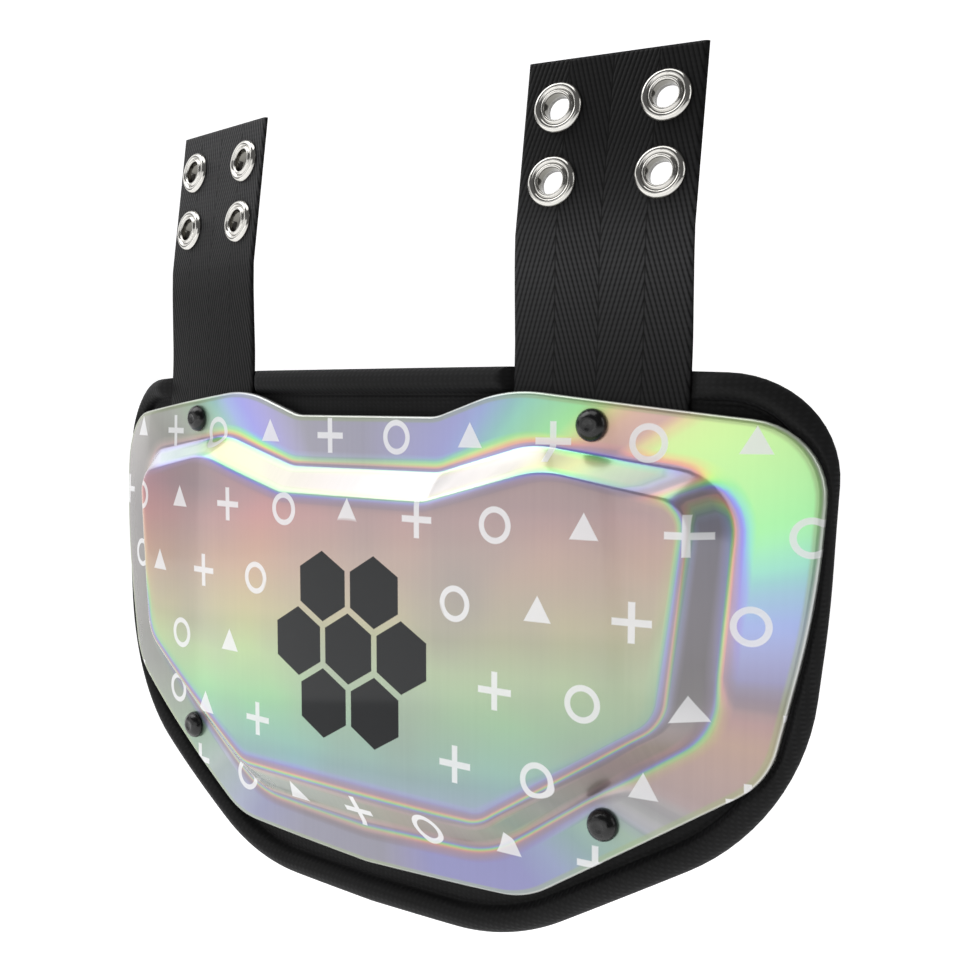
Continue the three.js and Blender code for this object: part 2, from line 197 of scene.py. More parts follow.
def linear(code):
    """An sRGB hex colour as Blender's linear colour."""
    parts = [int(code[i : i + 2], 16) / 255 for i in (1, 3, 5)]
    return [c / 12.92 if c <= 0.04045 else ((c + 0.055) / 1.055) ** 2.4 for c in parts] + [1.0]


def node(tree, kind, settings=None, *feeds, **links):
    """Adds a node. Settings name its properties, or the stops of a ramp as pairs of a place and a colour; feeds,
    in order, and links, by name, are its inputs."""
    made = tree.nodes.new(kind)
    for key, value in (settings or {}).items():
        if key != "stops":
            setattr(made, key, value)
            continue
        held = made.color_ramp.elements
        for k, (where, colour) in enumerate(value):
            stop = held[0] if k == 0 else held[-1] if k == len(value) - 1 else held.new(where)
            stop.position, stop.color = where, colour
    named = [(key.replace("_", " "), source) for key, source in links.items()]
    for place, source in [*enumerate(feeds), *named]:
        if isinstance(source, bpy.types.Node):
            source = source.outputs[0]
        if isinstance(source, bpy.types.NodeSocket):
            tree.links.new(source, made.inputs[place])
        elif source is not None:
            made.inputs[place].default_value = source
    return made


def material_named(name):
    """A new material with its node tree and its surface shader."""
    made = bpy.data.materials.new(name)
    made.use_nodes = True
    return made, made.node_tree, made.node_tree.nodes["Principled BSDF"]


def straps_rear(x, z):
    """The right strap's rear face, as it leaves the shell and turns flat: at shares of its height, how far it has
    leant back, and how far it has passed from the shell's bow to a flat face."""
    run = np.array([0, 0.04, 0.12, 0.22, 0.34, 0.44, 0.52, 1])
    back = np.array([0, 0.01, 0.1, 0.175, 0.205, 0.225, 0.263, 1])
    flat = np.array([0, 0, 0.18, 0.42, 0.74, 0.92, 1, 1])
    grid = np.linspace(-0.2, 1.05, 501)
    low = grid < 0.5
    window = np.ones(25) / 25  # rounds the lower knots over 6 mm
    backs, flats = np.interp(grid, run, back), np.interp(grid, run, flat)
    backs = np.where(low, np.convolve(backs, window, "same"), backs)
    flats = np.where(low, np.convolve(flats, window, "same"), flats)
    lay = np.interp(z / STRAP_TOP, grid, flats)
    follows = bowed(x, z) - bowed(STRAP_SPREAD, z)
    turned = (x - STRAP_SPREAD) * math.tan(STRAP_TURN)
    foot = bowed(STRAP_SPREAD, 0.0) + SHELL_THICKNESS + CLEARANCE + STRAP_THICKNESS
    leant = np.interp(z / STRAP_TOP, grid, backs) * STRAP_SET_BACK
    return foot + leant + follows * (1 - lay) + turned * lay


SHELL_CORNERS = {  # at the outer edge, where the wall leaves the flange, and where it meets the panel
    "edge": [(0.205, 0.048, 0.11), (0.384, -0.008, 0.35), (1.006, 0.062, 0.145), (0.991, 0.37, 1.6),
             (0.918, 0.682, 0.16), (0.429, 0.981, 0.22), (0, 1, 0)],
    "foot": [(0.216, 0.155, 0.11), (0.444, 0.094, 0.22), (0.861, 0.15, 0.12), (0.843, 0.356, 1.2),
             (0.819, 0.602, 0.145), (0.349, 0.904, 0.25), (0, 0.917, 0)],
    "top": [(0.211, 0.218, 0.11), (0.497, 0.144, 0.22), (0.79, 0.197, 0.06), (0.771, 0.377, 1.2),
            (0.748, 0.584, 0.09), (0.351, 0.832, 0.1), (0, 0.834, 0)],
}
shell_lines = {
    line: outline(corners, SHELL_WIDTH, SHELL_HEIGHT, SHELL_TOP, 10) for line, corners in SHELL_CORNERS.items()
}

foam, tree, shader = material_named("knit_faced_foam")
# Warp-knit polyester pressed onto black foam: a matt black with a soft sheen at grazing angles, a fine grid of
# wales 1.8 mm apart and courses 1.3 mm apart, about twice the real ones so that they show, and a slow
# unevenness where the foam was pressed.
place = node(tree, "ShaderNodeTexCoord").outputs["Object"]
wales = node(tree, "ShaderNodeTexWave", {"bands_direction": "X"}, place, Scale=175.0, Distortion=0.6)
courses = node(tree, "ShaderNodeTexWave", {"bands_direction": "Z"}, place, Scale=240.0, Distortion=0.8)
knit = node(tree, "ShaderNodeMath", {"operation": "MULTIPLY"}, wales.outputs["Fac"], courses.outputs["Fac"])
patches = node(tree, "ShaderNodeTexNoise", None, place, Scale=38.0, Detail=3.0).outputs[0]
shade = node(tree, "ShaderNodeMath", {"operation": "MULTIPLY_ADD"}, knit, 0.55, patches)
blacks = [(0.35, linear("#060606")), (1.0, linear("#131314"))]
tones = node(tree, "ShaderNodeValToRGB", {"stops": blacks}, shade)
height = node(tree, "ShaderNodeMath", {"operation": "MULTIPLY_ADD"}, patches, 0.5, knit)
relief = node(tree, "ShaderNodeBump", None, Strength=0.35, Distance=0.00025, Height=height)
tree.links.new(tones.outputs["Color"], shader.inputs["Base Color"])
tree.links.new(relief.outputs["Normal"], shader.inputs["Normal"])
shader.inputs["Roughness"].default_value = 0.72
shader.inputs["Specular IOR Level"].default_value = 0.25
shader.inputs["Sheen Weight"].default_value = 0.12
shader.inputs["Sheen Roughness"].default_value = 0.4
shader.inputs["Sheen Tint"].default_value = linear("#9a9aa0")

FLOOR_RINGS = 22
RIM_STEPS = 6
BACK_RINGS = 18
rim = outline(PAD_CORNERS, PAD_WIDTH, PAD_HEIGHT, PAD_TOP, 14)
floor_loop = inset(rim, RIM_SECTION[0][0])
back_inset, back_edge = RIM_SECTION[-1]
back_loop = inset(rim, back_inset)
loops = [(shrunk(floor_loop, share), PAD_FLOOR) for share in np.linspace(0.05, 0.97, FLOOR_RINGS)]
loops += [(inset(rim, away), depth) for away, depth in through(RIM_SECTION, RIM_STEPS)]
for step in range(1, BACK_RINGS + 1):
    share = 1 - 0.97 * (step / BACK_RINGS) ** 1.8
    swell = (1 - share**7) ** 0.5
    loops.append((shrunk(back_loop, share), back_edge + swell * (PAD_BACK - back_edge)))
front_rings = FLOOR_RINGS + 5 * RIM_STEPS + 3  # those that the shell and the straps can press on
pad_rings = []
for k, (loop, depth) in enumerate(loops):
    x, z = loop.T
    y = bowed(x, z) + depth
    if k < front_rings:
        from_shell = outside(loop, shell_lines["edge"]) - SHELL_MARGIN
        under_shell = bowed(x, z) + SHELL_THICKNESS + CLEARANCE - SHELL_GIVE * np.maximum(0, from_shell)
        beside = np.abs(np.abs(x) - STRAP_SPREAD) - STRAP_WIDTH / 2 - CLEARANCE
        from_strap = np.maximum(beside, STRAP_FOOT - CLEARANCE - z)
        under_strap = straps_rear(np.abs(x), z) + CLEARANCE - STRAP_GIVE * np.maximum(0, from_strap)
        y = np.maximum(y, np.maximum(under_shell, under_strap))
    pad_rings.append(np.column_stack([x, y, z]))
pad = skin("pad_foam", pad_rings, np.arange(len(rim) + 1.0), np.arange(float(len(pad_rings))), foam)
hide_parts("pad")
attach(pad, "root")


# The shell: clear polycarbonate sheet with a holographic film behind it, drawn hot over a mould that bows it
# round the back and raises a panel with sloped walls, then trimmed with a small round at its edge.

EDGE_ROUND = 1.3
EDGE_DEPTH = 0.9
PANEL_RISE = 7.2
FLANGE_LINE, PANEL_LINE = -0.3, 1.3  # where the flange and the panel begin, as shares of the way up the wall
edge, foot, top = shell_lines["edge"], shell_lines["foot"], shell_lines["top"]


def rise(share):
    """The share of the panel's rise at a share of the way up the wall, with a small radius at both bends."""
    hinge = lambda u: (u + np.sqrt(u * u + 0.07**2)) / 2
    return (hinge(share - 0.05) - hinge(share - 0.95)) / 0.9


# Each ring of the front: its loop, its depth, and its height up the section, which the UV map holds. That runs
# from -1.4 to -1 over the trimmed edge, to -0.3 over the flange, to 1.3 over the wall and its two bends, whose
# own lines are 0 and 1, and on over the panel.
face = []
for angle in np.linspace(0, math.pi / 2, 7):
    ring = inset(edge, EDGE_ROUND * (1 - math.cos(angle)))
    face.append((ring, EDGE_DEPTH * (1 - math.sin(angle)), -1.4 + 0.8 * angle / math.pi))
for share in np.linspace(0, 1, 9)[1:-1]:
    ring = inset(edge, EDGE_ROUND) * (1 - share) + (foot + (top - foot) * FLANGE_LINE) * share
    face.append((ring, 0.0, -1.0 + 0.7 * share))
for share in np.linspace(FLANGE_LINE, PANEL_LINE, 49):
    face.append((foot + (top - foot) * share, -PANEL_RISE * rise(share), share))
panel_line = foot + (top - foot) * PANEL_LINE
for share in np.linspace(1, 0.04, 30)[1:]:
    face.append((shrunk(panel_line, share), -PANEL_RISE, PANEL_LINE + (1 - share)))
shell_rings, shell_along = [], []
for loop, depth, up in face[::-1]:
    shell_rings.append(np.column_stack([loop[:, 0], bowed(*loop.T) + depth, loop[:, 1]]))
    shell_along.append(up)
for loop, depth, up in face[::2]:  # the rear, which the front's rounded edge comes down to
    rear = bowed(*loop.T) + min(depth, 0.0) + SHELL_THICKNESS
    shell_rings.append(np.column_stack([loop[:, 0], rear, loop[:, 1]]))
    shell_along.append(up)
steps = np.linalg.norm(np.roll(edge, -1, 0) - edge, axis=1)
shell_around = np.concatenate([[0], np.cumsum(steps)]) / steps.sum()


film, tree, shader = material_named("holographic_film_under_polycarbonate")
# A foil with a fine grating under clear plastic: its colour runs through the spectrum as the surface turns,
# slowly over the panel and the flange, and in tight bands where the sheet bends. Faint streaks are the foil's
# grain, 1.4 mm wide. The print is white ink with a dark emblem, under the plastic too. The colours are painted as
# they look in soft light from the front, each a place in the spectrum picked by the section and by the way round
# the shell, and their brightness is painted light and shade: a painted highlight on the top wall, in the bends and
# at the cut edge, and painted shade down the right and lower wall and across the panel to the right.
place = node(tree, "ShaderNodeTexCoord").outputs["Object"]
spot = node(tree, "ShaderNodeSeparateXYZ", None, place)
surface = node(tree, "ShaderNodeUVMap", {"uv_map": "surface"})
share = node(tree, "ShaderNodeSeparateXYZ", None, surface)
up = share.outputs["Y"]
drift = node(tree, "ShaderNodeTexNoise", None, place, Scale=16.0, Detail=2.0).outputs[0]
above = node(tree, "ShaderNodeMath", {"operation": "ADD"}, spot.outputs["Z"], 0.14)
clock = node(tree, "ShaderNodeMath", {"operation": "ARCTAN2"}, spot.outputs["X"], above)
turns = node(tree, "ShaderNodeMath", {"operation": "DIVIDE"}, clock, 2 * math.pi)
around = node(tree, "ShaderNodeMath", {"operation": "FRACT"}, turns)

# Round the flange and round the wall: the place in the spectrum, how vivid, and how bright as painted light and
# shade, at shares of a turn clockwise from the top about a point 140 mm below the hanging point. The wall is
# painted bright at the top and upper left, a painted highlight, and dark from the right round the foot to the
# left, painted shade; the flange's brightness is painted light and shade too. Whole turns of the spectrum between
# two zones are the fringes at the bend between them. A ramp holds 32 stops and colours up to 1, so the three are
# stored as a quarter, a half and a half.
tours = {}
for zone, stops in {
    "flange": [
        (0.0, 1.7, 0.32, 0.51), (0.08, 1.66, 0.73, 0.74), (0.122, 1.46, 0.85, 0.8),
        (0.134, 1.42, 0.92, 0.92), (0.148, 1.17, 0.74, 0.82), (0.156, 1.12, 0.67, 0.72), (0.162, 1.33, 0.87, 1.0),
        (0.205, 1.44, 0.93, 1.02), (0.222, 1.56, 0.8, 0.86), (0.234, 1.61, 0.79, 0.8),
        (0.25, 1.68, 0.6, 0.53), (0.261, 2.06, 0.57, 0.46), (0.272, 2.17, 0.66, 0.52), (0.3, 2.11, 0.42, 0.42),
        (0.306, 2.0, 0.08, 0.565), (0.311, 1.8, 0.0, 0.56), (0.316, 1.66, 0.08, 0.458), (0.322, 1.46, 0.42, 0.49),
        (0.38, 1.67, 0.76, 0.54), (0.44, 1.67, 0.76, 0.53),
        (0.485, 1.72, 0.3, 0.4), (0.56, 1.69, 0.32, 0.4), (0.6, 1.65, 0.57, 0.48), (0.645, 1.52, 0.25, 0.53),
        (0.664, 1.46, 0.5, 0.44), (0.715, 1.34, 0.15, 0.25), (0.79, 1.1, 0.12, 0.28), (0.845, 1.35, 0.14, 0.56),
        (0.873, 1.52, 0.66, 0.86), (0.893, 1.67, 0.9, 1.05), (0.94, 1.73, 0.28, 0.56), (1.0, 1.7, 0.32, 0.51),
    ],
    "wall": [
        (0.0, 0.15, 0.06, 0.6), (0.09, 0.15, 0.08, 0.8), (0.105, 0.17, 0.1, 1.08), (0.124, 0.2, 0.12, 1.0),
        (0.134, 0.25, 0.2, 0.7), (0.143, 0.29, 0.7, 0.73), (0.154, 0.3, 0.8, 1.0), (0.162, 0.37, 0.5, 0.7),
        (0.174, 0.4, 0.25, 0.52), (0.181, 1.2, 0.6, 0.85), (0.188, 2.3, 0.45, 0.6), (0.196, 2.75, 0.3, 0.5),
        (0.208, 2.8, 0.28, 0.5), (0.24, 2.89, 0.2, 0.47), (0.263, 3.0, 0.1, 0.42), (0.281, 3.2, 0.47, 0.26),
        (0.295, 3.1, 0.5, 0.24), (0.331, 3.3, 0.12, 0.27), (0.36, 3.45, 0.35, 0.29), (0.379, 3.3, 0.3, 0.29),
        (0.405, 3.2, 0.37, 0.27), (0.45, 3.24, 0.45, 0.29), (0.51, 3.34, 0.26, 0.3), (0.68, 3.5, 0.16, 0.33),
        (0.72, 3.3, 0.06, 0.34), (0.765, 1.3, 0.05, 0.4), (0.806, 1.2, 0.1, 0.75), (0.824, 0.56, 0.3, 1.2),
        (0.848, 0.5, 0.3, 1.15), (0.862, 0.28, 0.75, 0.8), (0.895, 0.27, 0.3, 0.6), (1.0, 0.15, 0.06, 0.6),
    ],
}.items():
    stored = [(where, (phase / 4, vivid / 2, painted_light / 2, 1)) for where, phase, vivid, painted_light in stops]
    tours[zone] = node(tree, "ShaderNodeValToRGB", {"stops": stored}, around)

# The panel's own: warm at the top, green lower down and blue at the foot, paler to the right, and darker to the
# right as painted shade
down = node(tree, "ShaderNodeMapRange", None, spot.outputs["Z"], -0.098, -0.19, 1.04, 1.57)
aside = node(tree, "ShaderNodeMath", {"operation": "MULTIPLY_ADD"}, spot.outputs["X"], 0.3, down)
panel_phase = node(tree, "ShaderNodeMath", {"operation": "MULTIPLY_ADD"}, drift, 0.04, aside)
paler = node(tree, "ShaderNodeMath", {"operation": "MULTIPLY_ADD"}, spot.outputs["X"], -1.6, 0.1)
panel_vivid = node(tree, "ShaderNodeMath", {"operation": "MULTIPLY_ADD"}, drift, 1.0, paler)
panel_painted_shade_rightwards = node(tree, "ShaderNodeMath", {"operation": "MULTIPLY_ADD"}, spot.outputs["X"], -0.8, 0.29)
panel_painted_light = node(tree, "ShaderNodeMath", {"operation": "MULTIPLY_ADD"}, drift, 0.5, panel_painted_shade_rightwards)
panel_tone = node(tree, "ShaderNodeCombineXYZ", None, panel_phase, panel_vivid, panel_painted_light)

# How far across the section the colours pass onto the wall and onto the panel, how strongly the bend there
# shows as fringes and as a painted highlight, and as alpha where the trimmed edge begins, each over the height in
# the UV map from -1.5 to 2.5
height = node(tree, "ShaderNodeMapRange", None, up, -1.5, 2.5, 0.0, 1.0)
zones = [((where + 1.5) / 4, parts) for where, *parts in [
    (-1.5, 0, 0, 0, 1), (-0.985, 0, 0, 0, 1), (-0.955, 0, 0, 0, 0), (-0.4, 0, 0, 0, 0), (-0.12, 0.25, 0, 0.8, 0),
    (0.0, 0.55, 0, 1, 0), (0.1, 0.85, 0, 0.9, 0), (0.32, 1, 0, 0, 0), (0.7, 1, 0, 0, 0), (0.9, 1, 0.2, 0.7, 0),
    (1.0, 1, 0.5, 1, 0), (1.1, 1, 0.75, 0.8, 0), (1.33, 1, 1, 0, 0), (2.5, 1, 1, 0, 0),
]]
section = node(tree, "ShaderNodeValToRGB", {"stops": zones}, height)
crossing = node(tree, "ShaderNodeSeparateColor", None, section)
onto_wall, onto_panel, bends = crossing.outputs
flange_tone = node(tree, "ShaderNodeVectorMath", {"operation": "MULTIPLY"}, tours["flange"], (4, 2, 2))
wall_tone = node(tree, "ShaderNodeVectorMath", {"operation": "MULTIPLY"}, tours["wall"], (4, 2, 2))
as_vectors = {"data_type": "VECTOR"}
below = node(tree, "ShaderNodeMix", as_vectors, onto_wall, None, None, None, flange_tone, wall_tone).outputs[1]
tone = node(tree, "ShaderNodeMix", as_vectors, onto_panel, None, None, None, below, panel_tone).outputs[1]
tone_parts = node(tree, "ShaderNodeSeparateXYZ", None, tone)

# The spectrum that the foil runs through, as pastels
turned = node(tree, "ShaderNodeMath", {"operation": "FRACT"}, tone_parts.outputs["X"])
pastels = [(where, linear(code)) for where, code in [
    (0.0, "#c9a3b4"), (0.1, "#f0a8a4"), (0.19, "#f2bd93"), (0.27, "#eedf92"), (0.35, "#cdf792"),
    (0.43, "#a2f2a0"), (0.51, "#93e6cc"), (0.6, "#93aef2"), (0.69, "#9c93ea"), (0.8, "#b3a0cf"), (1.0, "#c9a3b4"),
]]
spectrum = node(tree, "ShaderNodeValToRGB", {"stops": pastels}, turned)
# In the bends the colours are more vivid, and brighter as a painted highlight
vivid = node(tree, "ShaderNodeMath", {"operation": "MULTIPLY_ADD"}, bends, 0.3, tone_parts.outputs["Y"])
painted_light = node(tree, "ShaderNodeMath", {"operation": "MULTIPLY_ADD"}, bends, 0.12, tone_parts.outputs["Z"])
grain = node(tree, "ShaderNodeMapping", None, place, None, None, (700.0, 60.0, 12.0))
streaks = node(tree, "ShaderNodeTexNoise", None, grain, Scale=1.0, Detail=1.0).outputs[0]
streaked = node(tree, "ShaderNodeMath", {"operation": "MULTIPLY_ADD"}, streaks, 0.04, -0.02)
lit = node(tree, "ShaderNodeMath", {"operation": "ADD"}, painted_light, streaked)
coloured = node(tree, "ShaderNodeHueSaturation", None, 0.5, vivid, lit, 1.0, spectrum)

# The trimmed edge: a white line where the clear plastic is cut, a painted highlight, and a faint green one where it
# bends the colours, a painted refraction
as_colours = {"data_type": "RGBA"}
outer = node(tree, "ShaderNodeMapRange", None, up, -1.25, -1.1, 0.0, 1.0)
cut_painted_highlight, cut_painted_refraction = linear("#dfe1da"), linear("#9aa878")
cut = node(tree, "ShaderNodeMix", as_colours, outer, None, None, None, None, None, cut_painted_highlight, cut_painted_refraction).outputs[2]
at_rim = node(tree, "ShaderNodeMapRange", None, up, -1.25, -1.1, 0.85, 0.5)
at_edge = node(tree, "ShaderNodeMath", {"operation": "MULTIPLY"}, section.outputs["Alpha"], at_rim)
foil = node(tree, "ShaderNodeMix", as_colours, at_edge, None, None, None, None, None, coloured, cut).outputs[2]

# The print: plus signs, rings and small triangles in turn, in rows of which every other one is half a step
# along. Each motif is a distance in mm from its outline, negative inside it.
PRINT_ACROSS, PRINT_UP = 27.0, 23.0
ARM_REACH, ARM_HALF = 5.4, 0.95
RING_RADIUS, RING_HALF = 4.3, 0.85
TRIANGLE_INNER = 2.4
front = node(tree, "ShaderNodeCombineXYZ", None, spot.outputs["X"], spot.outputs["Z"], 0.0)
grid = node(tree, "ShaderNodeVectorMath", {"operation": "DIVIDE"}, front, (PRINT_ACROSS / 1000, PRINT_UP / 1000, 1))
grid_parts = node(tree, "ShaderNodeSeparateXYZ", None, grid)
row = node(tree, "ShaderNodeMath", {"operation": "FLOOR"}, grid_parts.outputs["Y"])
shift = node(tree, "ShaderNodeMath", {"operation": "PINGPONG"}, row, 1.0)
along = node(tree, "ShaderNodeMath", {"operation": "MULTIPLY_ADD"}, shift, 0.5, grid_parts.outputs["X"])
column = node(tree, "ShaderNodeMath", {"operation": "FLOOR"}, along)
in_x = node(tree, "ShaderNodeMath", {"operation": "FRACT"}, along)
in_z = node(tree, "ShaderNodeMath", {"operation": "FRACT"}, grid_parts.outputs["Y"])
px = node(tree, "ShaderNodeMath", {"operation": "MULTIPLY_ADD"}, in_x, PRINT_ACROSS, -PRINT_ACROSS / 2)
pz = node(tree, "ShaderNodeMath", {"operation": "MULTIPLY_ADD"}, in_z, PRINT_UP, -PRINT_UP / 2)
ax = node(tree, "ShaderNodeMath", {"operation": "ABSOLUTE"}, px)
az = node(tree, "ShaderNodeMath", {"operation": "ABSOLUTE"}, pz)
thin = node(tree, "ShaderNodeMath", {"operation": "MINIMUM"}, ax, az)
long = node(tree, "ShaderNodeMath", {"operation": "MAXIMUM"}, ax, az)
across = node(tree, "ShaderNodeMath", {"operation": "SUBTRACT"}, thin, ARM_HALF)
reach = node(tree, "ShaderNodeMath", {"operation": "SUBTRACT"}, long, ARM_REACH)
plus = node(tree, "ShaderNodeMath", {"operation": "MAXIMUM"}, across, reach)
point = node(tree, "ShaderNodeCombineXYZ", None, px, pz, 0.0)
radius = node(tree, "ShaderNodeVectorMath", {"operation": "LENGTH"}, point).outputs["Value"]
off_line = node(tree, "ShaderNodeMath", {"operation": "SUBTRACT"}, radius, RING_RADIUS)
on_line = node(tree, "ShaderNodeMath", {"operation": "ABSOLUTE"}, off_line)
ring = node(tree, "ShaderNodeMath", {"operation": "SUBTRACT"}, on_line, RING_HALF)
side = node(tree, "ShaderNodeMath", {"operation": "MULTIPLY"}, ax, 0.866)
slope = node(tree, "ShaderNodeMath", {"operation": "MULTIPLY_ADD"}, pz, 0.5, side)
base = node(tree, "ShaderNodeMath", {"operation": "MULTIPLY"}, pz, -1.0)
corner = node(tree, "ShaderNodeMath", {"operation": "MAXIMUM"}, slope, base)
triangle = node(tree, "ShaderNodeMath", {"operation": "SUBTRACT"}, corner, TRIANGLE_INNER)
turn = node(tree, "ShaderNodeMath", {"operation": "MULTIPLY_ADD"}, row, 2.0, column)
kind = node(tree, "ShaderNodeMath", {"operation": "FLOORED_MODULO"}, turn, 3.0)
second = node(tree, "ShaderNodeMath", {"operation": "GREATER_THAN"}, kind, 0.5)
third = node(tree, "ShaderNodeMath", {"operation": "GREATER_THAN"}, kind, 1.5)
two = node(tree, "ShaderNodeMix", None, second, None, plus, ring)
motif = node(tree, "ShaderNodeMix", None, third, None, two, triangle)
ink = node(tree, "ShaderNodeMapRange", None, motif, -0.12, 0.12, 0.8, 0.0)

# The emblem: seven hexagons as in a comb, one step from middle to middle. Two grids of oblong cells hold them
# all, and each place belongs to the nearer of its two cells' middles.
EMBLEM_STEP = 21.0
EMBLEM_MIDDLE = -144.5
EMBLEM_REACH = 1.2  # this and the next two are in steps
EMBLEM_CLEAR = 1.85
HEXAGON_HALF = 0.45
HALF_CELL = (0.5, 0.8660254, 1.0)
LESS_HALF = tuple(-v for v in HALF_CELL)
middle = node(tree, "ShaderNodeVectorMath", {"operation": "SUBTRACT"}, front, (0.0, EMBLEM_MIDDLE / 1000, 0))
one_step = (EMBLEM_STEP / 1000, EMBLEM_STEP / 1000, 1)
comb = node(tree, "ShaderNodeVectorMath", {"operation": "DIVIDE"}, middle, one_step)
near_a = node(tree, "ShaderNodeVectorMath", {"operation": "WRAP"}, comb, HALF_CELL, LESS_HALF)
moved = node(tree, "ShaderNodeVectorMath", {"operation": "SUBTRACT"}, comb, (*HALF_CELL[:2], 0))
near_b = node(tree, "ShaderNodeVectorMath", {"operation": "WRAP"}, moved, HALF_CELL, LESS_HALF)
far_a = node(tree, "ShaderNodeVectorMath", {"operation": "LENGTH"}, near_a).outputs["Value"]
far_b = node(tree, "ShaderNodeVectorMath", {"operation": "LENGTH"}, near_b).outputs["Value"]
takes_b = node(tree, "ShaderNodeMath", {"operation": "GREATER_THAN"}, far_a, far_b)
near = node(tree, "ShaderNodeMix", as_vectors, takes_b, None, None, None, near_a, near_b).outputs[1]
near_size = node(tree, "ShaderNodeVectorMath", {"operation": "ABSOLUTE"}, near)
near_parts = node(tree, "ShaderNodeSeparateXYZ", None, near_size)
half_x = node(tree, "ShaderNodeMath", {"operation": "MULTIPLY"}, near_parts.outputs["X"], 0.5)
slant = node(tree, "ShaderNodeMath", {"operation": "MULTIPLY_ADD"}, near_parts.outputs["Y"], 0.866, half_x)
hexagon = node(tree, "ShaderNodeMath", {"operation": "MAXIMUM"}, slant, near_parts.outputs["X"])
its_middle = node(tree, "ShaderNodeVectorMath", {"operation": "SUBTRACT"}, comb, near)
its_place = node(tree, "ShaderNodeVectorMath", {"operation": "LENGTH"}, its_middle).outputs["Value"]
is_ours = node(tree, "ShaderNodeMath", {"operation": "LESS_THAN"}, its_place, EMBLEM_REACH)
filled = node(tree, "ShaderNodeMapRange", None, hexagon, HEXAGON_HALF - 0.005, HEXAGON_HALF + 0.005, 1.0, 0.0)
emblem = node(tree, "ShaderNodeMath", {"operation": "MULTIPLY"}, filled, is_ours)
room = node(tree, "ShaderNodeVectorMath", {"operation": "LENGTH"}, comb).outputs["Value"]
clear = node(tree, "ShaderNodeMapRange", None, room, EMBLEM_CLEAR, EMBLEM_CLEAR + 0.05, 0.0, 1.0)
white = node(tree, "ShaderNodeMath", {"operation": "MULTIPLY"}, ink, clear)
white_ink, dark_ink = linear("#eeeef0"), linear("#101214")
inked = node(tree, "ShaderNodeMix", as_colours, white, None, None, None, None, None, foil, white_ink).outputs[2]
printed = node(tree, "ShaderNodeMix", as_colours, emblem, None, None, None, None, None, inked, dark_ink).outputs[2]
under_white = node(tree, "ShaderNodeMapRange", None, white, 0.0, 1.0, 0.45, 0.05)
metal = node(tree, "ShaderNodeMix", None, emblem, None, under_white, 0.95)
gloss = node(tree, "ShaderNodeMapRange", None, streaks, 0.3, 0.7, 0.25, 0.27)
tree.links.new(printed, shader.inputs["Base Color"])
tree.links.new(metal.outputs[0], shader.inputs["Metallic"])
tree.links.new(gloss.outputs[0], shader.inputs["Roughness"])
shader.inputs["Coat Weight"].default_value = 0.4
shader.inputs["Coat Roughness"].default_value = 0.05
shader.inputs["Coat IOR"].default_value = 1.58

shell = skin("shell_sheet", shell_rings, shell_around, shell_along, film)
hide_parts("shell")
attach(shell, "root")


# The straps: 50.8 mm polyester webbing in a herringbone twill, cut off square with a hot knife. A tail lies
# between the shell and the pad under the top rivet, and the rest stands up and turns flat for the eyelets.

EYELET_BARREL = 9.2
EYELET_ROWS = (86.2, 65.9)  # their heights
EYELET_ASIDE = 15.25  # from a strap's middle
ZONE_WIDTH = STRAP_WIDTH / 4
RIB_PITCH = 1.34
RIB_LEAN = 0.3
PICK_PITCH = 1.5
# A strap's section: shares of half its width, close together at its sides, which are rounded over the last 4%
across = np.concatenate([np.linspace(-1, -0.95, 5), np.linspace(-0.92, 0.92, 36), np.linspace(0.95, 1, 5)])
half_thick = STRAP_THICKNESS / 2 * np.clip((1 - across**2) / (1 - 0.96**2), 0, 1) ** 0.5
loop_x = np.concatenate([across, across[-2:0:-1]]) * STRAP_WIDTH / 2
loop_y = np.concatenate([-half_thick, half_thick[-2:0:-1]])

webbing, tree, shader = material_named("herringbone_polyester_webbing")
# Black polyester yarn in a herringbone twill: four lengthwise zones whose steep ribs lean to and fro, with a
# smooth, slightly glossy yarn, faint cross picks and a fine dark line between the zones. The ribs' crests are
# painted lighter as a painted sheen and the grooves between them darker as painted shade, and a painted sheen
# and shade runs up each strap.
surface = node(tree, "ShaderNodeUVMap", {"uv_map": "surface"})
share = node(tree, "ShaderNodeSeparateXYZ", None, surface)
zones = node(tree, "ShaderNodeMath", {"operation": "PINGPONG"}, share.outputs["X"], ZONE_WIDTH)
steep = node(tree, "ShaderNodeMath", {"operation": "MULTIPLY_ADD"}, share.outputs["Y"], -RIB_LEAN, zones)
rib = node(tree, "ShaderNodeMath", {"operation": "MULTIPLY"}, steep, math.pi / RIB_PITCH)
wave = node(tree, "ShaderNodeMath", {"operation": "SINE"}, rib)
crest = node(tree, "ShaderNodeMath", {"operation": "ABSOLUTE"}, wave)
picks = node(tree, "ShaderNodeMath", {"operation": "MULTIPLY"}, share.outputs["Y"], 2 * math.pi / PICK_PITCH)
pick = node(tree, "ShaderNodeMath", {"operation": "SINE"}, picks)
yarns = node(tree, "ShaderNodeMath", {"operation": "MULTIPLY_ADD"}, pick, 0.08, crest)
mid_zone = node(tree, "ShaderNodeMath", {"operation": "PINGPONG"}, zones, ZONE_WIDTH / 2)
seam = node(tree, "ShaderNodeMapRange", {"interpolation_type": "SMOOTHSTEP"}, mid_zone, 0.0, 0.4, 0.35, 1.0)
height = node(tree, "ShaderNodeMath", {"operation": "MULTIPLY"}, yarns, seam)
# Dark in the grooves as painted shade, lighter on the crests as a painted sheen
blacks = [(0.0, linear("#020202")), (1.0, linear("#2b2b2c"))]
tones = node(tree, "ShaderNodeValToRGB", {"stops": blacks}, height)
relief = node(tree, "ShaderNodeBump", None, Strength=0.5, Distance=0.00025, Height=height)
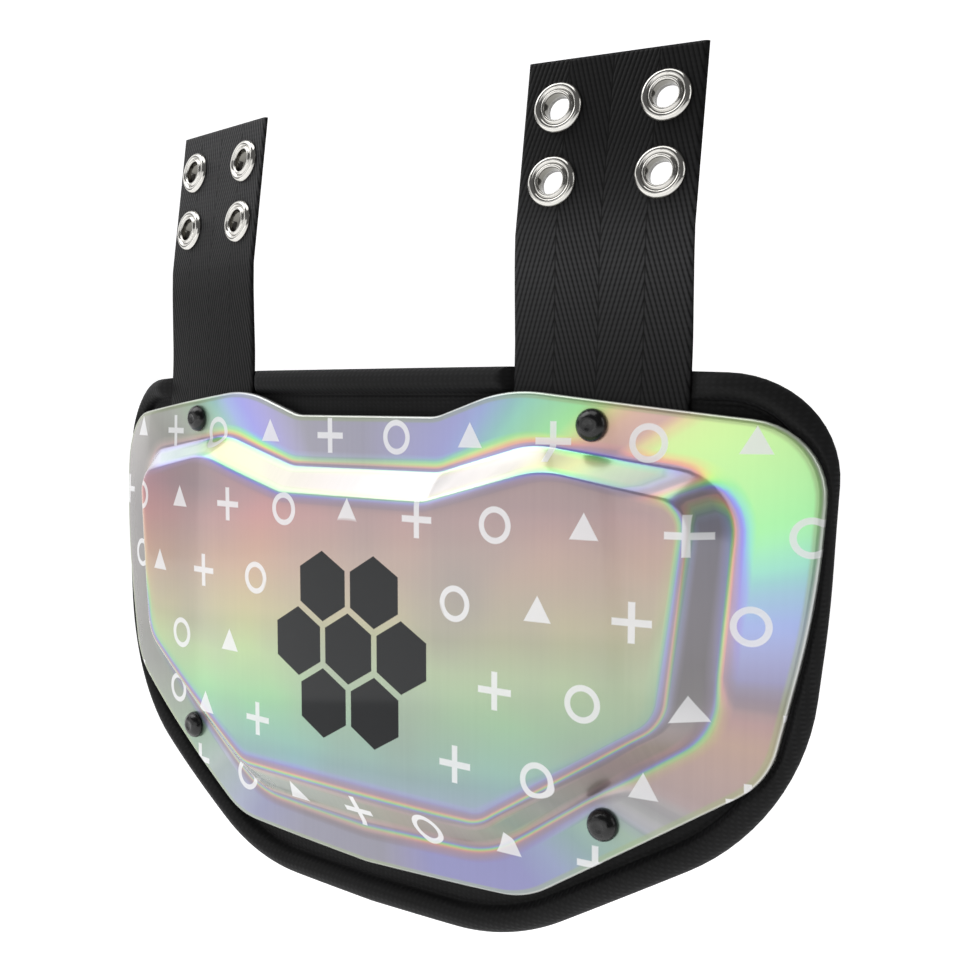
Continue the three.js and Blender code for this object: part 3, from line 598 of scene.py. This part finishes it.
# A painted sheen and painted shade up the straps, the right one as red and the left one as green, as halves
spot = node(tree, "ShaderNodeSeparateXYZ", None, node(tree, "ShaderNodeTexCoord").outputs["Object"])
strap_share = node(tree, "ShaderNodeMapRange", None, share.outputs["Y"], STRAP_FOOT, STRAP_TOP, 0.0, 1.0)
strap_painted_light_stops = [(where, (right / 2, left / 2, 0, 1)) for where, right, left in [
    (0.0, 0.5, 0.4), (0.2, 0.6, 0.35), (0.38, 1.2, 0.35), (0.5, 1.7, 0.4), (0.58, 1.6, 0.75), (0.68, 0.8, 1.3),
    (0.8, 0.4, 1.75), (1.0, 0.35, 1.9),
]]
strap_painted_light = node(tree, "ShaderNodeValToRGB", {"stops": strap_painted_light_stops}, strap_share)
strap_painted_light_parts = node(tree, "ShaderNodeSeparateColor", None, strap_painted_light)
is_right = node(tree, "ShaderNodeMath", {"operation": "GREATER_THAN"}, spot.outputs["X"], 0.0)
half_strap_painted_light = node(tree, "ShaderNodeMix", None, is_right, None, strap_painted_light_parts.outputs["Green"], strap_painted_light_parts.outputs["Red"])
strap_painted_light_factor = node(tree, "ShaderNodeMath", {"operation": "MULTIPLY"}, half_strap_painted_light, 2.0)
yarn_tone_painted_lit = node(tree, "ShaderNodeVectorMath", {"operation": "SCALE"}, tones, Scale=strap_painted_light_factor)
tree.links.new(yarn_tone_painted_lit.outputs["Vector"], shader.inputs["Base Color"])
tree.links.new(relief.outputs["Normal"], shader.inputs["Normal"])
shader.inputs["Roughness"].default_value = 0.48
shader.inputs["Specular IOR Level"].default_value = 0.13


def copies_on(name, seats, blank, material):
    """One copy of a small part on each seat, a place in mm and a turn, as one plain mesh."""
    tree = bpy.data.node_groups.new("parts_on_seats", "GeometryNodeTree")
    sockets = {"Seats": "Geometry", "Part": "Object", "Size": "Float", "Finish": "Material"}
    for socket, kind in sockets.items():
        tree.interface.new_socket(socket, in_out="INPUT", socket_type="NodeSocket" + kind)
    tree.interface.new_socket("Parts", in_out="OUTPUT", socket_type="NodeSocketGeometry")
    given = node(tree, "NodeGroupInput")
    part = node(tree, "GeometryNodeObjectInfo", None, given.outputs["Part"])
    turn = node(tree, "GeometryNodeInputNamedAttribute", {"data_type": "FLOAT_VECTOR"}, "turn")
    placed = node(tree, "GeometryNodeInstanceOnPoints", None, Points=given.outputs["Seats"],
                  Instance=part.outputs["Geometry"], Rotation=turn.outputs[0], Scale=given.outputs["Size"])
    real = node(tree, "GeometryNodeRealizeInstances", None, placed)
    finished = node(tree, "GeometryNodeSetMaterial", None, real, Material=given.outputs["Finish"])
    node(tree, "NodeGroupOutput", None, finished)
    mesh = bpy.data.meshes.new(name)
    mesh.from_pydata([tuple((np.array(p) + HANG) / 1000) for p, _ in seats], [], [])
    turns = mesh.attributes.new("turn", "FLOAT_VECTOR", "POINT")
    turns.data.foreach_set("vector", np.array([t for _, t in seats], np.float32).ravel())
    piece = bpy.data.objects.new(name, mesh)
    bpy.context.scene.collection.objects.link(piece)
    modifier = piece.modifiers.new("parts_on_seats", "NODES")
    modifier.node_group = tree
    for socket in tree.interface.items_tree:
        if socket.in_out == "INPUT" and socket.name in ("Part", "Size", "Finish"):
            modifier[socket.identifier] = {"Part": blank, "Size": 1.0, "Finish": material}[socket.name]
    made = bpy.data.meshes.new_from_object(piece.evaluated_get(bpy.context.evaluated_depsgraph_get()))
    piece.modifiers.remove(modifier)
    piece.data = made
    piece.data.name = name
    bpy.data.objects.remove(blank)
    return piece


def lathed(name, profile, sides, hollow=False):
    """A small part turned about its own depth, from its radii and depths in mm."""
    angles = np.arange(sides) * 2 * math.pi / sides
    rings = [np.column_stack([r * np.cos(angles), np.full(sides, y), r * np.sin(angles)]) for r, y in profile]
    return skin(name, rings, np.arange(sides + 1.0), np.arange(len(rings) + 1.0), None, np.zeros(3), hollow)


# The flat top's lean, which is the slope between the last two knots of straps_rear
top_lean = math.atan((1 - 0.263) * STRAP_SET_BACK / (0.48 * STRAP_TOP) * math.cos(STRAP_TURN))
eyelet_seats = []
for side in (1, -1):
    for z in EYELET_ROWS:
        for x in (STRAP_SPREAD - EYELET_ASIDE, STRAP_SPREAD + EYELET_ASIDE):
            y = float(straps_rear(x, z)) - STRAP_THICKNESS
            eyelet_seats.append(((side * x, y, z), (-top_lean, 0, side * STRAP_TURN)))

heights = np.linspace(STRAP_FOOT, STRAP_TOP, 120)
punch_section = [(EYELET_BARREL / 2, -6.0), (EYELET_BARREL / 2, 8.0)]
for side, name in ((1, "right"), (-1, "left")):
    rings = []
    for z in heights:
        x = STRAP_SPREAD + loop_x
        y = straps_rear(x, np.full(len(x), z)) - STRAP_THICKNESS / 2 + loop_y
        rings.append(np.column_stack([side * x, y, np.full(len(x), z)]))
    across_strap = np.append(loop_x, loop_x[0]) + STRAP_WIDTH / 2
    strap = skin(f"strap_{name}_webbing", rings, across_strap, heights, webbing)
    seats = [seat for seat in eyelet_seats if seat[0][0] * side > 0]
    punch = copies_on("punch", seats, lathed("punch", punch_section, 32), webbing)
    cut = strap.modifiers.new("punched", "BOOLEAN")
    cut.operation, cut.solver, cut.object = "DIFFERENCE", "EXACT", punch
    holed = bpy.data.meshes.new_from_object(strap.evaluated_get(bpy.context.evaluated_depsgraph_get()))
    strap.modifiers.remove(cut)
    strap.data = holed
    bpy.data.objects.remove(punch)
    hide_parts(f"strap_{name}")
    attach(strap, "root")


# The eyelets: brass, nickel-plated, each a flanged barrel pushed through the strap and rolled over at the
# back. The front has a domed flange and a raised lip round the hole.

EYELET_SECTION = [  # radius and depth in mm, from the rear of the bore forwards and round
    (3.65, 2.97), (3.62, 1.0), (3.62, -1.0), (3.75, -1.4), (4.05, -1.68), (4.4, -1.62), (4.68, -1.3),
    (4.85, -0.95), (5.05, -1.15), (5.4, -1.42), (5.9, -1.52), (6.4, -1.36), (6.8, -0.98), (7.05, -0.5),
    (7.15, -0.25), (7.0, -0.1), (4.6, -0.1), (4.6, 1.92), (6.5, 1.92), (6.58, 2.4), (6.3, 2.97),
]

nickel, tree, shader = material_named("nickel_plated_brass")
# Bright nickel plate over stamped brass: a warm white mirror, with faint marks about 1 mm apart left by the
# setting tool. The bore and the groove between the lip and the flange are painted darker, as painted shade.
place = node(tree, "ShaderNodeTexCoord").outputs["Object"]
marks = node(tree, "ShaderNodeTexNoise", None, place, Scale=900.0, Detail=3.0).outputs[0]
surface = node(tree, "ShaderNodeUVMap", {"uv_map": "surface"})
step = node(tree, "ShaderNodeSeparateXYZ", None, surface).outputs["Y"]
round_section = node(tree, "ShaderNodeMath", {"operation": "DIVIDE"}, step, len(EYELET_SECTION) + 1.0)
# The plate's grey up the section, painted darker in the bore and the groove as painted shade
plate_greys_and_painted_shade = [(where, linear(code)) for where, code in [
    (0.0, "#77756f"), (0.1, "#85837d"), (0.16, "#d2d0cb"), (0.29, "#cfcdc8"), (0.33, "#6a6864"), (0.37, "#cfcdc8"),
    (1.0, "#d2d0cb"),
]]
plate_with_painted_shade = node(tree, "ShaderNodeValToRGB", {"stops": plate_greys_and_painted_shade}, round_section)
gloss = node(tree, "ShaderNodeMapRange", None, marks, 0.3, 0.7, 0.08, 0.2)
relief = node(tree, "ShaderNodeBump", None, Strength=0.08, Distance=0.0001, Height=marks)
tree.links.new(gloss.outputs[0], shader.inputs["Roughness"])
tree.links.new(relief.outputs["Normal"], shader.inputs["Normal"])
tree.links.new(plate_with_painted_shade.outputs["Color"], shader.inputs["Base Color"])
shader.inputs["Metallic"].default_value = 1.0

eyelet = lathed("eyelet", EYELET_SECTION, 48, hollow=True)
eyelets = copies_on("eyelets_nickel", eyelet_seats, eyelet, nickel)
rows = [f"eyelet_{side}_{row}" for side in ("right", "left") for row in ("upper", "lower")]
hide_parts(*[f"{row}_{place}" for row in rows for place in ("inner", "outer")])
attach(eyelets, "root")


# The rivets: moulded black nylon, pushed through shell, strap and pad, with a domed head in front and a broad
# flat head sunk into the foam behind.

nylon, tree, shader = material_named("moulded_black_nylon")
# Glossy black nylon straight from a polished mould, with a slight orange-peel ripple 1.4 mm across.
place = node(tree, "ShaderNodeTexCoord").outputs["Object"]
ripple = node(tree, "ShaderNodeTexNoise", None, place, Scale=700.0, Detail=2.0).outputs[0]
gloss = node(tree, "ShaderNodeMapRange", None, ripple, 0.3, 0.7, 0.18, 0.3)
relief = node(tree, "ShaderNodeBump", None, Strength=0.1, Distance=0.0001, Height=ripple)
tree.links.new(gloss.outputs[0], shader.inputs["Roughness"])
tree.links.new(relief.outputs["Normal"], shader.inputs["Normal"])
shader.inputs["Base Color"].default_value = linear("#0a0a0b")

RIVET_SECTION = [  # radius and depth in mm, from the dimple in the head round to the rear head
    (0.4, -2.95), (0.9, -3.0), (1.35, -3.2), (1.9, -3.25), (2.6, -3.05), (3.3, -2.6), (3.95, -1.95), (4.35, -1.2),
    (4.5, -0.6), (4.35, -0.3), (2.0, -0.3), (2.0, 11.6), (5.8, 11.6), (6.0, 12.0), (5.85, 12.7), (5.4, 13.0),
    (0.5, 13.0),
]
RIVET_PLACES = ((78.9, 0.0), (83.3, -107.7))
rivet_seats = []
for x, z in RIVET_PLACES:
    slope = math.atan((bowed(x + 1, z) - bowed(x - 1, z)) / 2)
    for side in (1, -1):
        rivet_seats.append(((side * x, float(bowed(x, z)), z), (0, 0, side * slope)))
rivet = lathed("rivet", RIVET_SECTION, 40)
rivets = copies_on("rivets_nylon", rivet_seats, rivet, nylon)
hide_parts(*[f"rivet_{side}_{row}" for side in ("right", "left") for row in ("top", "bottom")])
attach(rivets, "root")


# The camera stands to the right of the plate and a little above its middle. A pale floor runs far below and
# curves up behind into a plain backdrop, and soft boxes light the plate from above, in front and both sides.
# Sizes and places here are in metres.

camera = bpy.data.objects.new("camera", bpy.data.cameras.new("camera"))
bpy.context.scene.collection.objects.link(camera)
bpy.context.scene.camera = camera
camera.data.sensor_width = 36.0
camera.data.lens = 44.49
camera.data.clip_start = 0.01
camera.location = (0.2463, -0.28155, -0.06805)
camera.rotation_euler = Vector((-0.5947, 0.8004, -0.0752)).to_track_quat("-Z", "Y").to_euler()

paper, tree, shader = material_named("matt_white_paper")
# A roll of white studio paper, lit until it is nearly white all over. Its unevenness is drawn 25 mm across, much
# coarser than its real tooth, so that it shows.
place = node(tree, "ShaderNodeTexCoord").outputs["Object"]
tooth = node(tree, "ShaderNodeTexNoise", None, place, Scale=40.0, Detail=2.0).outputs[0]
whites = [(0.0, linear("#f6f6f6")), (1.0, linear("#fbfbfb"))]
tones = node(tree, "ShaderNodeValToRGB", {"stops": whites}, tooth)
tree.links.new(tones.outputs["Color"], shader.inputs["Base Color"])
shader.inputs["Roughness"].default_value = 1.0
shader.inputs["Specular IOR Level"].default_value = 0.0
shader.inputs["Emission Color"].default_value = linear("#ffffff")
shader.inputs["Emission Strength"].default_value = 0.65
FLOOR_DROP = 0.7
FLOOR_FRONT, FLOOR_BEND, FLOOR_BACK, FLOOR_SIDE = -3.5, 1.6, 3.0, 4.5
BACKDROP_TOP = 4.0
BEND_RADIUS = FLOOR_BACK - FLOOR_BEND
away = Vector((-0.5963, 0.8027, 0))
aside = Vector((away.y, -away.x, 0))
profile = [(FLOOR_FRONT, -FLOOR_DROP), (FLOOR_BEND, -FLOOR_DROP)]
for angle in np.linspace(0.1, math.pi / 2, 14):
    rise_here = BEND_RADIUS - FLOOR_DROP - BEND_RADIUS * math.cos(angle)
    profile.append((FLOOR_BEND + BEND_RADIUS * math.sin(angle), rise_here))
profile.append((FLOOR_BACK, BACKDROP_TOP))
points = [away * d + aside * w + Vector((0, 0, z)) for d, z in profile for w in (-FLOOR_SIDE, FLOOR_SIDE)]
strips = [(2 * i, 2 * i + 1, 2 * i + 3, 2 * i + 2) for i in range(len(profile) - 1)]
sweep = bpy.data.meshes.new("floor")
sweep.from_pydata([tuple(p) for p in points], [], strips)
sweep.shade_smooth()
sweep.materials.append(paper)
floor = bpy.data.objects.new("floor", sweep)
bpy.context.scene.collection.objects.link(floor)

# The standard view keeps the paper white. The world is dim as a light and white as a background.
bpy.context.scene.view_settings.view_transform = "Standard"
world = bpy.data.worlds.new("studio")
bpy.context.scene.world = world
world.use_nodes = True
tree = world.node_tree
seen = node(tree, "ShaderNodeLightPath").outputs["Is Camera Ray"]
glow = node(tree, "ShaderNodeMapRange", None, seen, 0.0, 1.0, 0.12, 1.0)
tree.nodes["Background"].inputs["Color"].default_value = linear("#ffffff")
tree.links.new(glow.outputs[0], tree.nodes["Background"].inputs["Strength"])
plate_middle = Vector((0, 0, -0.09))
for name, spot, wide, high, power in (
    ("left", (-1.7, -0.4, -0.35), 1.2, 0.8, 0.85),
    ("upper_left", (-1.6, -0.5, 0.65), 0.9, 0.5, 1.9),
    ("front_left", (-1.0, -1.35, 0.0), 1.6, 1.2, 5.2),
    ("front", (0.35, -1.75, -0.05), 1.3, 1.1, 4.9),
    ("top_left", (-0.9, -0.5, 1.15), 1.0, 1.0, 9.0),
    ("top", (0.0, -0.25, 1.25), 0.9, 0.8, 4.0),
    ("right", (1.6, 0.3, 0.5), 0.4, 1.2, 2.5),
):
    lamp = bpy.data.lights.new(name, "AREA")
    lamp.shape = "RECTANGLE"
    lamp.size, lamp.size_y, lamp.energy = wide, high, power
    box = bpy.data.objects.new(name, lamp)
    box.location = spot
    box.rotation_euler = (plate_middle - Vector(spot)).to_track_quat("-Z", "Y").to_euler()
    bpy.context.scene.collection.objects.link(box)
